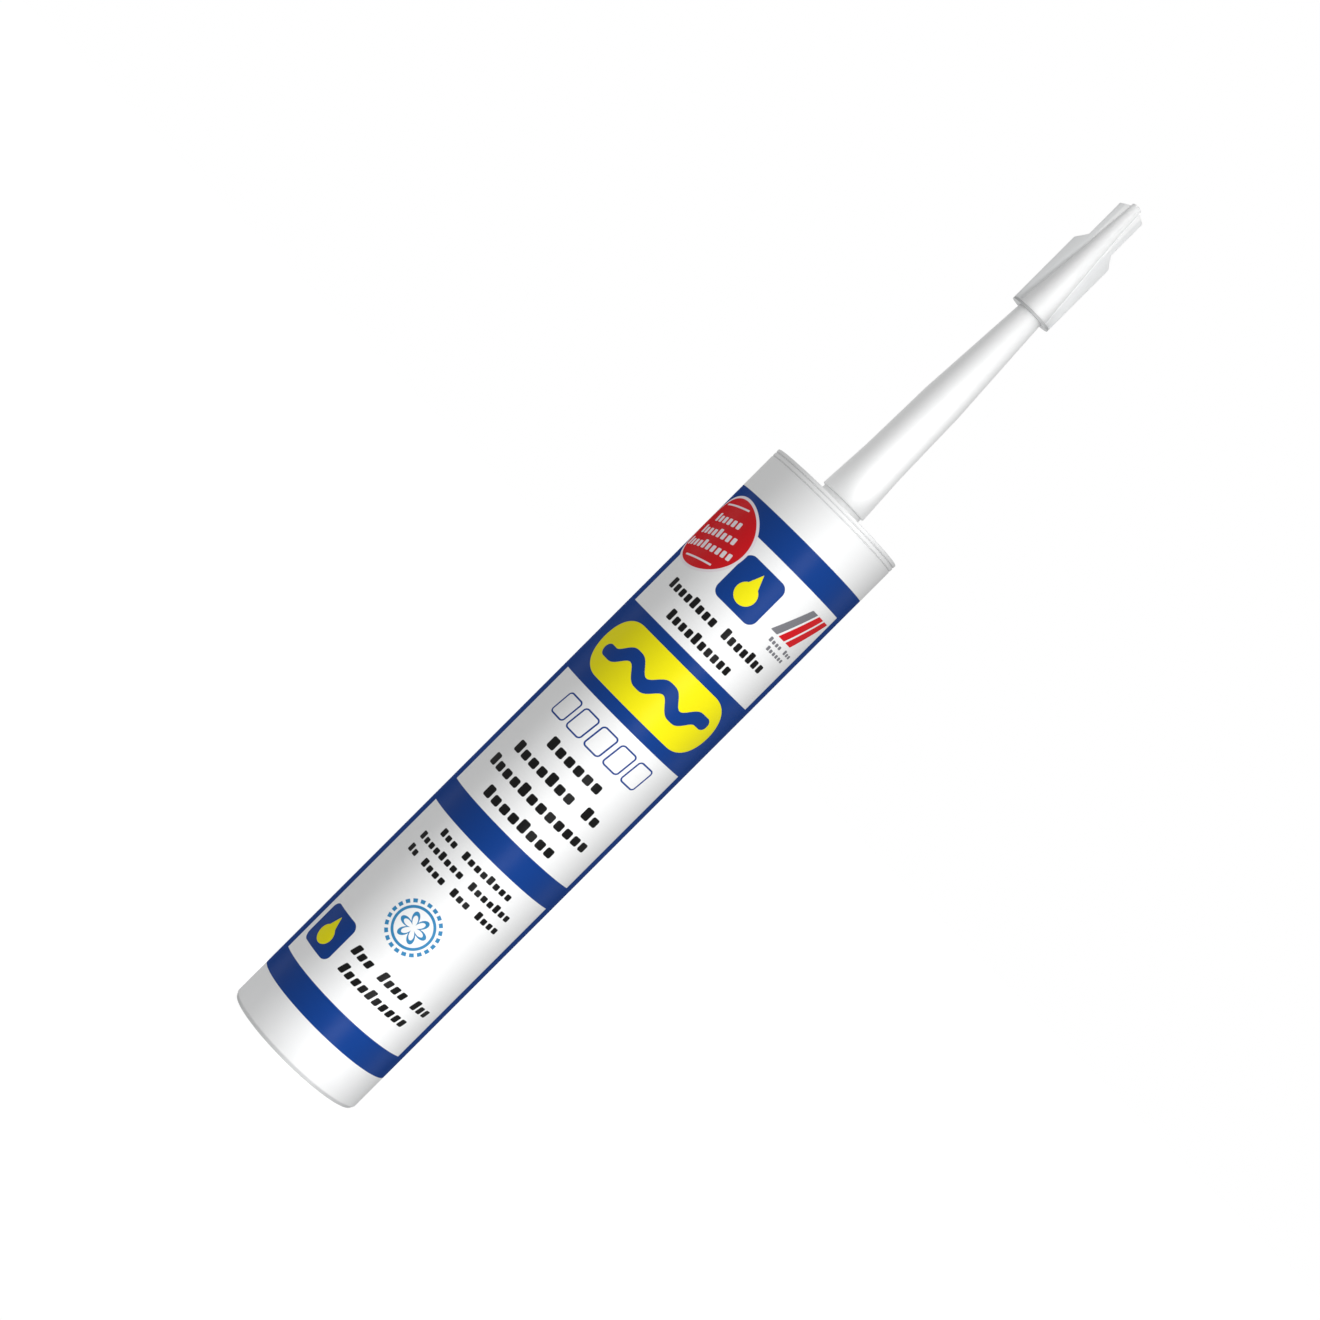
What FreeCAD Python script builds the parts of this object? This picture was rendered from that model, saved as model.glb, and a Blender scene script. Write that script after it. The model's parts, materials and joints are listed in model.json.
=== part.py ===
# Sealant cartridge for a skeleton gun, standing on the open rim of its barrel.
# Lengths are millimetres. +Z runs up the barrel to the nozzle, the printed front faces -Y,
# and the cap's two finger wings lie along X. The origin is the centre of the base rim.
import FreeCAD, Part
import os
import Sketcher

# Driving sizes: name, value, what it measures
SIZES = [
    ("barrel_radius", 25.0, "outside of the barrel, which the gun's cradle holds"),
    ("barrel_wall", 1.5, "barrel wall"),
    ("barrel_length", 233.4, "base rim to the top of the shoulder"),
    ("shoulder_thick", 1.9, "flat end wall around the neck"),
    ("shoulder_bevel", 0.4, "outer edge of the shoulder"),
    ("rim_bevel", 0.5, "outer edge of the open base rim"),
    ("mouth_bevel", 0.3, "inner edge of the open base rim"),
    ("line_depth", 0.25, "depth of the fine lines below the shoulder"),
    ("line_width", 0.4, "width of the fine lines"),
    ("line_drop", 1.0, "shoulder to the upper line"),
    ("line_pitch", 1.3, "distance between the fine lines"),
    ("line_count", 2, "number of fine lines"),
    ("collar_radius", 7.6, "raised collar that the nozzle seats on"),
    ("collar_height", 2.4, "collar above the shoulder, clear of the gun's front plate"),
    ("neck_radius", 5.6, "neck without its thread"),
    ("neck_length", 15.0, "neck above the collar"),
    ("neck_wall", 1.4, "wall of the neck"),
    ("neck_bevel", 1.0, "bevel at the closed end of the neck"),
    ("membrane_thick", 1.0, "end of the neck, cut open before use"),
    ("thread_height", 0.6, "thread crest above the neck"),
    ("thread_clearance", 0.15, "nozzle socket around the thread crest"),
    ("piston_recess", 40.0, "base rim to the piston's rear edge when full"),
    ("piston_length", 18.0, "piston from its rear edge to its front"),
    ("piston_wall", 1.4, "piston skirt"),
    ("piston_crown", 1.8, "piston front wall"),
    ("crown_bevel", 0.1, "edge of the crown inside the skirt"),
    ("skirt_clearance", 0.9, "piston skirt inside the barrel"),
    ("lip_clearance", 0.08, "wiping lips inside the barrel"),
    ("lip_width", 0.9, "land of a wiping lip"),
    ("lip_slope", 1.2, "length of the slope behind a lip"),
    ("lip_inset", 1.2, "front lip below the front of the piston"),
    ("rib_count", 8, "number of ribs behind the crown"),
    ("rib_thick", 1.2, "thickness of a rib"),
    ("rib_recess", 5.0, "ribs and hub above the piston's rear edge"),
    ("hub_radius", 5.0, "outside of the piston's hub"),
    ("hub_wall", 1.4, "wall of the hub"),
    ("fill_clearance", 0.05, "sealant inside the barrel"),
    ("nozzle_length", 106.2, "nozzle from its seat to its tip"),
    ("nozzle_base_radius", 8.4, "nozzle at its seat"),
    ("nozzle_base_bevel", 0.4, "lower outer edge of the nozzle"),
    ("skirt_height", 17.0, "seat to the end of the threaded skirt"),
    ("skirt_radius", 7.4, "nozzle at the end of the threaded skirt"),
    ("shank_height", 42.5, "seat to the start of the long taper"),
    ("shank_radius", 6.8, "nozzle at the start of the long taper"),
    ("tip_length", 27.6, "steeper tip, mostly inside the cap"),
    ("taper_radius", 4.58, "nozzle at the start of the tip"),
    ("tip_radius", 2.2, "nozzle at its tip"),
    ("tip_bore", 1.1, "outlet radius at the tip"),
    ("tip_bevel", 0.3, "outer edge of the tip"),
    ("nozzle_wall", 1.2, "nozzle wall above the socket"),
    ("socket_spare", 1.0, "socket beyond the end of the neck"),
    ("cap_overlap", 26.2, "nozzle tip above the cap's rim"),
    ("cap_length", 46.0, "cap from its rim to its top"),
    ("cap_clearance", 0.1, "cap around the nozzle"),
    ("cap_end_gap", 0.3, "nozzle tip to the step in the cap"),
    ("cap_wall", 0.75, "wall of the cap around the nozzle"),
    ("cap_top_radius", 1.75, "cap at its top"),
    ("cap_top_bevel", 0.4, "edge of the cap's top"),
    ("finger_bore", 1.0, "radius of the hollow above the nozzle tip"),
    ("finger_end", 1.5, "closed end of the cap"),
    ("wing_thick", 1.1, "thickness of a finger wing"),
    ("wing_span", 7.25, "axis to the edge of the wide part of a wing"),
    ("wing_height", 26.1, "rim to the end of the wide part"),
    ("wing_step", 3.8, "height of the sloping step in the wing's edge"),
    ("upper_span", 4.7, "axis to the edge of the narrow part of a wing"),
    ("upper_height", 43.2, "rim to the outer corner of the wing's top"),
    ("wing_slant", 2.0, "rise of the wing's top towards the cap"),
    ("flange_thick", 0.8, "oval flange at the cap's rim"),
    ("flange_lip", 0.35, "flange beyond the cap's wall, front and back"),
]

# Sizes worked out from the driving ones
BORE = "(sizes.barrel_radius - sizes.barrel_wall)"
SHOULDER_INSIDE = "(sizes.barrel_length - sizes.shoulder_thick)"
SEAT = "(sizes.barrel_length + sizes.collar_height)"
NECK_TOP = f"({SEAT} + sizes.neck_length)"
NECK_BORE = "(sizes.neck_radius - sizes.neck_wall)"
MEMBRANE = f"({NECK_TOP} - sizes.membrane_thick)"
PISTON_FRONT = "(sizes.piston_recess + sizes.piston_length)"
CROWN_INSIDE = "(sizes.piston_length - sizes.piston_crown)"
SKIRT = f"({BORE} - sizes.skirt_clearance)"
LIP = f"({BORE} - sizes.lip_clearance)"
SKIRT_INSIDE = f"({SKIRT} - sizes.piston_wall)"
HUB_INSIDE = "(sizes.hub_radius - sizes.hub_wall)"
SOCKET = "(sizes.neck_radius + sizes.thread_height + sizes.thread_clearance)"
SOCKET_DEPTH = "(sizes.neck_length + sizes.socket_spare)"
TAPER_HEIGHT = "(sizes.nozzle_length - sizes.tip_length)"
TIP_SLOPE = "((sizes.taper_radius - sizes.tip_radius) / sizes.tip_length)"
CAP_MOUTH = f"(sizes.tip_radius + {TIP_SLOPE} * sizes.cap_overlap + sizes.cap_clearance)"
CAP_STEP = "(sizes.cap_overlap + sizes.cap_end_gap)"
CAP_STEP_RADIUS = "(sizes.tip_radius + sizes.cap_clearance)"
WING_TOP = "(sizes.upper_height + sizes.wing_slant)"
FLANGE_DEPTH = f"({CAP_MOUTH} + sizes.cap_wall + sizes.flange_lip)"

doc = FreeCAD.newDocument("sealant_cartridge")
sheet = doc.addObject("Spreadsheet::Sheet", "sizes")
for row, (alias, number, meaning) in enumerate(SIZES, start=1):
    sheet.set(f"A{row}", meaning)
    sheet.set(f"B{row}", str(number))
    sheet.setAlias(f"B{row}", alias)
doc.recompute()


def measure(expression):
    return float(sheet.evalExpression(expression))


def new_body(name, height):
    # A body stands on the axis, its own zero at the given height
    body = doc.addObject("PartDesign::Body", name)
    body.Label = name
    body.Placement = FreeCAD.Placement()
    body.setExpression("Placement.Base.z", height)
    return body


def origin_feature(body, role):
    return next(item for item in body.Origin.OriginFeatures if item.Role == role)


def new_sketch(body, name, plane):
    sketch = body.newObject("Sketcher::SketchObject", name)
    sketch.AttachmentSupport = [(origin_feature(body, plane), "")]
    sketch.MapMode = "FlatFace"
    return sketch


def tie(sketch, kind, line, expression):
    # The start of a line keeps its distance from the sketch's origin, along X or along Y
    if expression == "0":
        axis = -2 if kind == "DistanceX" else -1
        sketch.addConstraint(Sketcher.Constraint("PointOnObject", line, 1, axis))
        return
    value = measure(expression)
    index = sketch.addConstraint(Sketcher.Constraint(kind, -1, 1, line, 1, value))
    sketch.setExpression(f"Constraints[{index}]", expression)


def draw_outline(sketch, corners):
    # A closed outline of straight lines through corners given as (distance across, height)
    first = sketch.GeometryCount
    points = [FreeCAD.Vector(measure(across), measure(up), 0) for across, up in corners]
    for start, end in zip(points, points[1:] + points[:1]):
        sketch.addGeometry(Part.LineSegment(start, end), False)
    for step in range(len(points)):
        following = first + (step + 1) % len(points)
        sketch.addConstraint(Sketcher.Constraint("Coincident", first + step, 2, following, 1))
    for step, (across, up) in enumerate(corners):
        tie(sketch, "DistanceX", first + step, across)
        tie(sketch, "DistanceY", first + step, up)


def turn(body, name, corners, kind="PartDesign::Revolution"):
    # A profile in the XZ plane turned about the axis
    sketch = new_sketch(body, name + "_profile", "XZ_Plane")
    draw_outline(sketch, corners)
    feature = body.newObject(kind, name)
    feature.Profile = sketch
    feature.ReferenceAxis = (sketch, ["V_Axis"])
    feature.Angle = 360
    doc.recompute()
    return feature


def pad(body, name, sketch, length, both_sides):
    feature = body.newObject("PartDesign::Pad", name)
    feature.Profile = sketch
    feature.SideType = "Symmetric" if both_sides else "One side"
    feature.setExpression("Length", length)
    doc.recompute()
    return feature


def repeat_around(body, name, feature, count):
    pattern = body.newObject("PartDesign::PolarPattern", name)
    pattern.Originals = [feature]
    pattern.Axis = (origin_feature(body, "Z_Axis"), [""])
    pattern.Angle = 360
    pattern.setExpression("Occurrences", count)
    body.Tip = pattern
    doc.recompute()
    return pattern


def ring_edges(body, radius, height):
    # The circular edges of the given radius at the given height above the body's own zero
    found = []
    for number, edge in enumerate(body.Tip.Shape.Edges, start=1):
        curve = edge.Curve
        if not isinstance(curve, Part.Circle):
            continue
        same_radius = abs(curve.Radius - measure(radius)) < 1e-4
        if same_radius and abs(curve.Center.z - measure(height)) < 1e-4:
            found.append(f"Edge{number}")
    return found


def bevel(body, name, radius, height, size):
    # A chamfer on one circular edge
    base = body.Tip
    edges = ring_edges(body, radius, height)
    feature = body.newObject("PartDesign::Chamfer", name)
    feature.Base = (base, edges)
    feature.setExpression("Size", size)
    doc.recompute()
    return feature


def make_barrel():
    # Tube, shoulder, collar and closed neck, moulded as one piece
    body = new_body("barrel", "0")
    turn(
        body,
        "shell",
        [
            (BORE, "0"),
            ("sizes.barrel_radius", "0"),
            ("sizes.barrel_radius", "sizes.barrel_length"),
            ("sizes.collar_radius", "sizes.barrel_length"),
            ("sizes.collar_radius", SEAT),
            ("sizes.neck_radius", SEAT),
            ("sizes.neck_radius", NECK_TOP + " - sizes.neck_bevel"),
            ("sizes.neck_radius - sizes.neck_bevel", NECK_TOP),
            ("0", NECK_TOP),
            ("0", MEMBRANE),
            (NECK_BORE, MEMBRANE),
            (NECK_BORE, SHOULDER_INSIDE),
            (BORE, SHOULDER_INSIDE),
        ],
    )
    for step in range(int(measure("sizes.line_count"))):
        # A fine line runs around the barrel just below the shoulder
        middle = f"sizes.barrel_length - sizes.line_drop - {step} * sizes.line_pitch"
        floor = "sizes.barrel_radius - sizes.line_depth"
        turn(
            body,
            f"line_{step}",
            [
                (floor, middle),
                ("sizes.barrel_radius", middle + " - sizes.line_width / 2"),
                ("sizes.barrel_radius", middle + " + sizes.line_width / 2"),
            ],
            "PartDesign::Groove",
        )
    outer = "sizes.barrel_radius"
    bevel(body, "shoulder_edge", outer, "sizes.barrel_length", "sizes.shoulder_bevel")
    bevel(body, "rim_edge", outer, "0", "sizes.rim_bevel")
    bevel(body, "mouth", BORE, "0", "sizes.mouth_bevel")
    return body


def make_piston():
    # Cup plunger: a crown, a skirt with wiping lips, and a hub with radial ribs open to the rear
    body = new_body("piston", "sizes.piston_recess")
    front_lip = "(sizes.piston_length - sizes.lip_inset)"
    front_land = f"({front_lip} - sizes.lip_width)"
    turn(
        body,
        "cup",
        [
            ("0", "sizes.piston_length"),
            ("0", CROWN_INSIDE),
            (HUB_INSIDE, CROWN_INSIDE),
            (HUB_INSIDE, "sizes.rib_recess"),
            ("sizes.hub_radius", "sizes.rib_recess"),
            ("sizes.hub_radius", CROWN_INSIDE),
            (SKIRT_INSIDE, CROWN_INSIDE),
            (SKIRT_INSIDE, "0"),
            (LIP, "0"),
            (LIP, "sizes.lip_width"),
            (SKIRT, "sizes.lip_width + sizes.lip_slope"),
            (SKIRT, f"{front_land} - sizes.lip_slope"),
            (LIP, front_land),
            (LIP, front_lip),
            (f"{SKIRT} - sizes.crown_bevel", "sizes.piston_length"),
        ],
    )
    sketch = new_sketch(body, "rib_outline", "XZ_Plane")
    rib_inside = "(sizes.hub_radius - sizes.hub_wall / 2)"
    rib_outside = f"({SKIRT_INSIDE} + sizes.piston_wall / 2)"
    rib_top = f"({CROWN_INSIDE} + sizes.piston_crown / 2)"
    draw_outline(
        sketch,
        [
            (rib_inside, "sizes.rib_recess"),
            (rib_outside, "sizes.rib_recess"),
            (rib_outside, rib_top),
            (rib_inside, rib_top),
        ],
    )
    rib = pad(body, "rib", sketch, "sizes.rib_thick", True)
    repeat_around(body, "ribs", rib, "sizes.rib_count")
    return body


def make_sealant():
    # The filling, from the piston's crown up into the closed neck
    body = new_body("sealant_fill", f"{PISTON_FRONT} + sizes.fill_clearance")
    base = f"({PISTON_FRONT} + sizes.fill_clearance)"
    shoulder = f"{SHOULDER_INSIDE} - sizes.fill_clearance - {base}"
    neck_end = f"{MEMBRANE} - sizes.fill_clearance - {base}"
    turn(
        body,
        "fill",
        [
            ("0", "0"),
            (f"{BORE} - sizes.fill_clearance", "0"),
            (f"{BORE} - sizes.fill_clearance", shoulder),
            (f"{NECK_BORE} - sizes.fill_clearance", shoulder),
            (f"{NECK_BORE} - sizes.fill_clearance", neck_end),
            ("0", neck_end),
        ],
    )
    return body


def make_nozzle():
    # Tapered nozzle, screwed over the neck, open at its tip
    body = new_body("nozzle", SEAT)
    turn(
        body,
        "taper",
        [
            (SOCKET, "0"),
            ("sizes.nozzle_base_radius", "0"),
            ("sizes.skirt_radius", "sizes.skirt_height"),
            ("sizes.shank_radius", "sizes.shank_height"),
            ("sizes.taper_radius", TAPER_HEIGHT),
            ("sizes.tip_radius", "sizes.nozzle_length"),
            ("sizes.tip_bore", "sizes.nozzle_length"),
            ("sizes.shank_radius - sizes.nozzle_wall", "sizes.shank_height"),
            ("sizes.shank_radius - sizes.nozzle_wall", SOCKET_DEPTH),
            (SOCKET, SOCKET_DEPTH),
        ],
    )
    bevel(body, "base_edge", "sizes.nozzle_base_radius", "0", "sizes.nozzle_base_bevel")
    bevel(body, "tip_edge", "sizes.tip_radius", "sizes.nozzle_length", "sizes.tip_bevel")
    return body


def make_cap():
    # Pull-off cap over the nozzle's tip, with an oval flange and two stepped finger wings
    body = new_body("nozzle_cap", f"{SEAT} + sizes.nozzle_length - sizes.cap_overlap")
    turn(
        body,
        "cone",
        [
            (CAP_MOUTH, "0"),
            (f"{CAP_MOUTH} + sizes.cap_wall", "0"),
            (f"{CAP_STEP_RADIUS} + sizes.cap_wall", CAP_STEP),
            ("sizes.cap_top_radius", "sizes.cap_length"),
            ("0", "sizes.cap_length"),
            ("0", "sizes.cap_length - sizes.finger_end"),
            ("sizes.finger_bore", "sizes.cap_length - sizes.finger_end"),
            ("sizes.finger_bore", CAP_STEP),
            (CAP_STEP_RADIUS, CAP_STEP),
            (CAP_STEP_RADIUS, "sizes.cap_overlap"),
        ],
    )
    bevel(body, "top_edge", "sizes.cap_top_radius", "sizes.cap_length", "sizes.cap_top_bevel")
    sketch = new_sketch(body, "wing_outline", "XZ_Plane")
    draw_outline(
        sketch,
        [
            (f"{CAP_MOUTH} + sizes.cap_wall / 2", "0"),
            ("sizes.wing_span", "0"),
            ("sizes.wing_span", "sizes.wing_height"),
            ("sizes.upper_span", "sizes.wing_height + sizes.wing_step"),
            ("sizes.upper_span", "sizes.upper_height"),
            ("(sizes.cap_top_radius + sizes.finger_bore) / 2", WING_TOP),
            (f"{CAP_STEP_RADIUS} + sizes.cap_wall / 2", CAP_STEP),
        ],
    )
    wing = pad(body, "wing", sketch, "sizes.wing_thick", True)
    repeat_around(body, "wings", wing, "2")
    sketch = new_sketch(body, "flange_outline", "XY_Plane")
    centre = FreeCAD.Vector(0, 0, 0)
    end = FreeCAD.Vector(measure("sizes.wing_span"), 0, 0)
    side = FreeCAD.Vector(0, measure(FLANGE_DEPTH), 0)
    hole = f"({CAP_MOUTH} + sizes.cap_wall / 2)"
    oval = sketch.addGeometry(Part.Ellipse(end, side, centre), False)
    sketch.exposeInternalGeometry(oval)
    ring = sketch.addGeometry(Part.Circle(centre, FreeCAD.Vector(0, 0, 1), measure(hole)), False)
    sketch.addConstraint(Sketcher.Constraint("Coincident", oval, 3, -1, 1))
    sketch.addConstraint(Sketcher.Constraint("Coincident", ring, 3, -1, 1))
    long_axis = oval + 1
    short_axis = oval + 2
    sketch.addConstraint(Sketcher.Constraint("Horizontal", long_axis))
    for line, size in ((long_axis, "sizes.wing_span"), (short_axis, FLANGE_DEPTH)):
        index = sketch.addConstraint(Sketcher.Constraint("Distance", line, 2 * measure(size)))
        sketch.setExpression(f"Constraints[{index}]", "2 * " + size)
    index = sketch.addConstraint(Sketcher.Constraint("Radius", ring, measure(hole)))
    sketch.setExpression(f"Constraints[{index}]", hole)
    pad(body, "flange", sketch, "sizes.flange_thick", False)
    return body


bodies = [make_barrel(), make_piston(), make_sealant(), make_nozzle(), make_cap()]
doc.recompute()

for item in doc.Objects:
    if "Invalid" in item.State or "Error" in item.State:
        raise RuntimeError(f"{item.Name} failed: {item.State}")
for body in bodies:
    if body.Shape.isNull() or not body.Shape.isValid() or len(body.Shape.Solids) != 1:
        raise RuntimeError(f"{body.Label} isn't one valid solid")

os.makedirs("parts", exist_ok=True)
for body in bodies:
    body.Shape.exportStep(f"parts/{body.Label}.step")
    box = body.Shape.BoundBox
    volume = body.Shape.Volume / 1000
    print(f"{body.Label}: {volume:.2f} ml, z {box.ZMin:.2f} to {box.ZMax:.2f} mm")
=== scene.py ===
import json
import math
import bmesh
import bpy
from mathutils import Matrix, Vector


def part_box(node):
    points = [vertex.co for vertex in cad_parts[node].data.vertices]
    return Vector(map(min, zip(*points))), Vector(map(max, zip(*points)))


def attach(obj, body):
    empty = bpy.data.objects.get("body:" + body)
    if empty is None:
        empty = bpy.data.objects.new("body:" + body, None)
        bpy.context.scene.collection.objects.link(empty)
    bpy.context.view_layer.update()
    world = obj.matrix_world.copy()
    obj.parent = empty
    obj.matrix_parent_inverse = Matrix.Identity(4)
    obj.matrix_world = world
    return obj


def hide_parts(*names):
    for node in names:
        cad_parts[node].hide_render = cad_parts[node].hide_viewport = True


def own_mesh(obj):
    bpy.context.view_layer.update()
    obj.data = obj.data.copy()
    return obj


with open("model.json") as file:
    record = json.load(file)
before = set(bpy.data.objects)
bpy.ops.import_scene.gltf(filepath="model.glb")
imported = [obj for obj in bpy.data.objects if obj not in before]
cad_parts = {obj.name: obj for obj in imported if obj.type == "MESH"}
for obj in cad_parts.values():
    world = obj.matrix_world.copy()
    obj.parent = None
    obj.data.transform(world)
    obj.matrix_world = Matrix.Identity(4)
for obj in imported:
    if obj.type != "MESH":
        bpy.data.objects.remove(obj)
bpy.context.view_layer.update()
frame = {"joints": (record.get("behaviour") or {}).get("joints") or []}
mm = 0.001
weld = 0.002  # points closer than this become one, in mm

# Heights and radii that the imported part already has, in millimetres
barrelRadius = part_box("barrel")[1].x / mm
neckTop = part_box("barrel")[1].z / mm
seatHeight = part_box("nozzle")[0].z / mm
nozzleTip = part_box("nozzle")[1].z / mm
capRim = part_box("nozzle_cap")[0].z / mm
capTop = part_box("nozzle_cap")[1].z / mm
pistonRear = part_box("piston")[0].z / mm
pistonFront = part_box("piston")[1].z / mm
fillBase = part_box("sealant_fill")[0].z / mm
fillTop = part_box("sealant_fill")[1].z / mm
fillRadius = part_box("sealant_fill")[1].x / mm


class Wire:
    # A node's output socket. Arithmetic on wires adds Math nodes to their tree.
    def __init__(self, tree, socket=None):
        self.tree = tree
        self.socket = socket

    def node(self, kind, settings=None, sockets=None, output=0):
        # Any node: its settings first, then the values or wires of its sockets
        made = self.tree.nodes.new(kind)
        for name, value in (settings or {}).items():
            if name == "stops":
                setStops(made.color_ramp, value)
            else:
                setattr(made, name, value)
        for name, value in (sockets or {}).items():
            if isinstance(value, Wire):
                self.tree.links.new(value.socket, made.inputs[name])
            else:
                made.inputs[name].default_value = value
        return Wire(self.tree, made.outputs[output] if len(made.outputs) else None)

    def other(self, output):
        # Another output of the same node
        return Wire(self.tree, self.socket.node.outputs[output])

    def maths(self, operation, *values):
        sockets = dict(enumerate((self,) + values))
        return self.node("ShaderNodeMath", {"operation": operation}, sockets)

    def __add__(self, value):
        return self.maths("ADD", value)

    __radd__ = __add__

    def __sub__(self, value):
        return self.maths("SUBTRACT", value)

    def __rsub__(self, value):
        return (self * -1) + value

    def __mul__(self, value):
        return self.maths("MULTIPLY", value)

    __rmul__ = __mul__

    def __truediv__(self, value):
        return self.maths("DIVIDE", value)

    def __abs__(self):
        return self.maths("ABSOLUTE")

    def rises(self, edge, blur):
        # 0 below the edge and 1 above it
        limits = {"From Min": edge - blur / 2, "From Max": edge + blur / 2}
        return self.node("ShaderNodeMapRange", sockets={"Value": self, **limits})

    def within(self, low, high, blur):
        return self.rises(low, blur) - self.rises(high, blur)


def setStops(ramp, stops):
    # Flat steps of grey, each from its place to the next one's
    ramp.interpolation = "CONSTANT"
    while len(ramp.elements) < len(stops):
        ramp.elements.new(1.0)
    for element, (place, level) in zip(ramp.elements, stops):
        element.position = place
        element.color = (level, level, level, 1.0)


def roundedProfile(corners, steps=5, guard=0.4):
    # Turns (radius, height, rounding) corners into the points of one profile, in mm.
    # A guard point beside each rounding keeps the long faces shaded flat.
    points = []
    for number, (across, up, rounding) in enumerate(corners):
        here = Vector((across, up))
        if not rounding or number in (0, len(corners) - 1):
            points.append(here)
            continue
        before = Vector(corners[number - 1][:2]) - here
        after = Vector(corners[number + 1][:2]) - here
        half = before.angle(after) / 2
        reach = rounding / math.tan(half)
        centre = here + (before.normalized() + after.normalized()).normalized() * (
            rounding / math.sin(half)
        )
        first = here + before.normalized() * reach
        last = here + after.normalized() * reach
        if before.length > 2 * (reach + guard):
            points.append(first + before.normalized() * guard)
        for step in range(steps + 1):
            swing = (first - centre).lerp(last - centre, step / steps)
            points.append(centre + swing.normalized() * rounding)
        if after.length > 2 * (reach + guard):
            points.append(last + after.normalized() * guard)
    return points


def newTree(name, sockets):
    # An empty tree with named inputs, and a wire for each of them
    tree = bpy.data.node_groups.new(name, "GeometryNodeTree")
    for label, kind in sockets.items():
        tree.interface.new_socket(label, in_out="INPUT", socket_type="NodeSocket" + kind)
    tree.interface.new_socket("Piece", in_out="OUTPUT", socket_type="NodeSocketGeometry")
    entry = tree.nodes.new("NodeGroupInput")
    return tree, {label: Wire(tree, entry.outputs[label]) for label in sockets}


def closeTree(tree, piece, material):
    # Every tree ends as one plain piece that wears its material
    solid = piece.node("GeometryNodeRealizeInstances", sockets={"Geometry": piece})
    painted = piece.node(
        "GeometryNodeSetMaterial", sockets={"Geometry": solid, "Material": material}
    )
    tree.links.new(painted.socket, tree.nodes.new("NodeGroupOutput").inputs[0])


def turningTree():
    # Turns a profile about Z, with a map laid out by angle and by length along the profile
    tree, given = newTree(
        "turnedProfile",
        {
            "Profile": "Geometry",
            "Segments": "Int",
            "Shown Length": "Float",
            "Whole Length": "Float",
            "Shown Share": "Float",
            "Material": "Material",
        },
    )
    base = Wire(tree)
    count = base.node(
        "GeometryNodeAttributeDomainSize",
        {"component": "CURVE"},
        {"Geometry": given["Profile"]},
    )
    sheet = base.node(
        "GeometryNodeMeshGrid",
        sockets={"Vertices X": given["Segments"] + 1, "Vertices Y": count},
    )
    corner = base.node("ShaderNodeSeparateXYZ", sockets={0: base.node("GeometryNodeInputPosition")})
    turn = corner + 0.5
    row = ((corner.other("Y") + 0.5) * (count - 1)).maths("ROUND")

    def atRow(value, kind):
        return base.node(
            "GeometryNodeSampleIndex",
            {"data_type": kind},
            {"Geometry": given["Profile"], "Value": value, "Index": row},
        )

    place = atRow(base.node("GeometryNodeInputPosition"), "FLOAT_VECTOR")
    along = atRow(base.node("GeometryNodeSplineParameter").other("Length"), "FLOAT")
    shown = (along / given["Shown Length"]).maths("MINIMUM", 1.0) * given["Shown Share"]
    hidden = (along - given["Shown Length"]).maths("MAXIMUM", 0.0)
    hidden = hidden / (given["Whole Length"] - given["Shown Length"])
    hidden = hidden * (1 - given["Shown Share"])
    mapped = base.node(
        "GeometryNodeStoreNamedAttribute",
        {"data_type": "FLOAT2", "domain": "CORNER"},
        {
            "Geometry": sheet,
            "Name": "OFBake",
            "Value": base.node("ShaderNodeCombineXYZ", sockets={"X": turn, "Y": shown + hidden}),
        },
    )
    turned = base.node(
        "ShaderNodeVectorRotate",
        {"rotation_type": "Z_AXIS"},
        {"Vector": place, "Angle": turn * 2 * math.pi},
    )
    moved = base.node(
        "GeometryNodeSetPosition", sockets={"Geometry": mapped, "Position": turned}
    )
    joined = base.node(
        "GeometryNodeMergeByDistance", sockets={"Geometry": moved, "Distance": weld * mm}
    )
    smooth = base.node("GeometryNodeSetShadeSmooth", sockets={"Geometry": joined})
    closeTree(tree, smooth, given["Material"])
    return tree


turning = turningTree()


def runTree(source, tree, values, material):
    # Sets a tree's inputs by identifier and returns its result as a plain mesh
    modifier = source.modifiers.new("shape", "NODES")
    modifier.node_group = tree
    values = {**values, "Material": material}
    for item in tree.interface.items_tree:
        if item.in_out == "INPUT" and item.name in values:
            modifier[item.identifier] = values[item.name]
    graph = bpy.context.evaluated_depsgraph_get()
    mesh = bpy.data.meshes.new_from_object(source.evaluated_get(graph), depsgraph=graph)
    source.modifiers.remove(modifier)
    mesh.materials.clear()
    mesh.materials.append(material)
    return mesh


def outward(mesh, creaseDegrees=32.0):
    # A closed shell's faces point outwards, and only its real corners stay sharp
    shell = bmesh.new()
    shell.from_mesh(mesh)
    loose = [edge for edge in shell.edges if not edge.link_faces]
    bmesh.ops.delete(shell, geom=loose, context="EDGES")
    bmesh.ops.recalc_face_normals(shell, faces=shell.faces)
    for face in shell.faces:
        face.smooth = True
        face.material_index = 0
    shell.to_mesh(mesh)
    shell.free()
    mesh.set_sharp_from_angle(angle=math.radians(creaseDegrees))
    return mesh


def carry(name, data):
    # An object that only holds a shape while it is being made
    carrier = bpy.data.objects.new(name, data)
    bpy.context.scene.collection.objects.link(carrier)
    return carrier


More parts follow.
